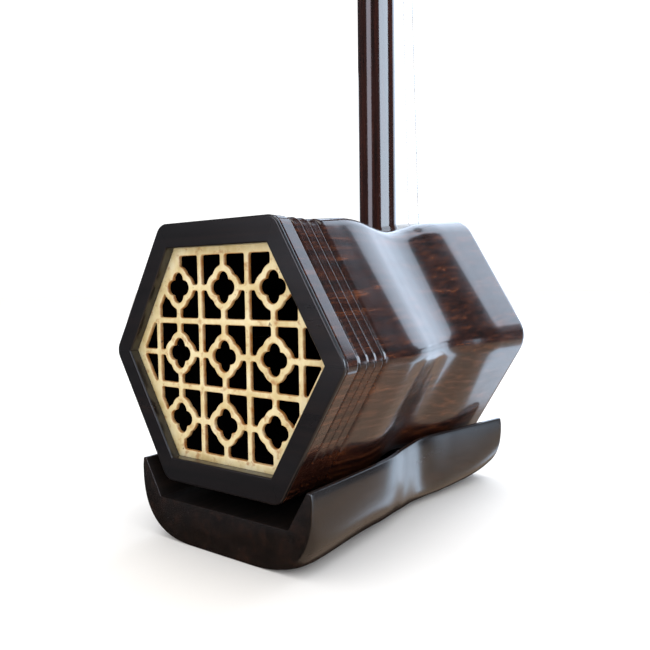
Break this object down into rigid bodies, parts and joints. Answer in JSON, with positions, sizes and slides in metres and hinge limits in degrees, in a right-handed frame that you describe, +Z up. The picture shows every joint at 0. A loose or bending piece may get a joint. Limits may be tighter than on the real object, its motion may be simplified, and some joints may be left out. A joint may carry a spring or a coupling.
{
  "type": "erhu",
  "caption": "Two-stringed bowed fiddle with a hexagonal hardwood resonator, lattice window, skin face, long round neck, tuning pegs and a cradle base.",
  "frame": {"origin": "centre of the box round the instrument, in the plane of the base's flat underside; the neck's axis is at x = 0, y = -0.033", "axes": "+Z up along the neck; the skin faces -Y and the lattice window faces +Y; +X to the right of a person who looks at the skin"},
  "size_m": [0.1158, 0.14, 0.8036],
  "materials": {
    "rosewood": "glossy clear lacquer over dark red-brown figured rosewood",
    "darkwood": "satin near-black hardwood",
    "basewood": "satin dark brown hardwood with faint grain",
    "neckwood": "glossy dark red-brown hardwood",
    "pegwood": "polished dark hardwood",
    "bone": "pale cream bone, scorched orange-brown at its edges",
    "snakeskin": "scaled skin, brown and cream, stretched flat",
    "maple": "plain oiled maple",
    "felt": "soft wool felt",
    "thread": "waxed twisted thread",
    "brass": "polished brass",
    "steel": "bright steel string"
  },
  "bodies": {
    "instrument": {"side_panel_top": "rosewood", "side_panel_upper_right": "rosewood", "side_panel_lower_right": "rosewood", "side_panel_bottom": "rosewood", "side_panel_lower_left": "rosewood", "side_panel_upper_left": "rosewood", "window_frame_top": "darkwood", "window_frame_upper_right": "darkwood", "window_frame_lower_right": "darkwood", "window_frame_bottom": "darkwood", "window_frame_lower_left": "darkwood", "window_frame_upper_left": "darkwood", "window_lattice": "bone", "python_skin": "snakeskin", "bridge": "maple", "damper_felt": "felt", "neck": "neckwood", "head_inlay": "bone", "base": "basewood", "base_screw": "brass", "base_spacer": "basewood", "string_pin": "brass", "inner_string": "steel", "outer_string": "steel"},
    "inner_peg_body": {"inner_peg": "pegwood", "inner_peg_cap": "bone", "inner_winding": "steel"},
    "outer_peg_body": {"outer_peg": "pegwood", "outer_peg_cap": "bone", "outer_winding": "steel"},
    "thread_loop_body": {"thread_loop": "thread"}
  },
  "joints": [
    {"name": "inner_peg_turn", "type": "hinge", "parent": "instrument", "child": "inner_peg_body", "pos_m": [0, -0.033, 0.705], "axis": [0, 1, 0], "range_deg": [-810, 90]},
    {"name": "outer_peg_turn", "type": "hinge", "parent": "instrument", "child": "outer_peg_body", "pos_m": [0, -0.033, 0.628], "axis": [0, -1, 0], "range_deg": [-810, 90]},
    {"name": "thread_loop_slide", "type": "slide", "parent": "instrument", "child": "thread_loop_body", "axis": [0, 0, 1], "range_m": [-0.012, 0.012]}
  ]
}
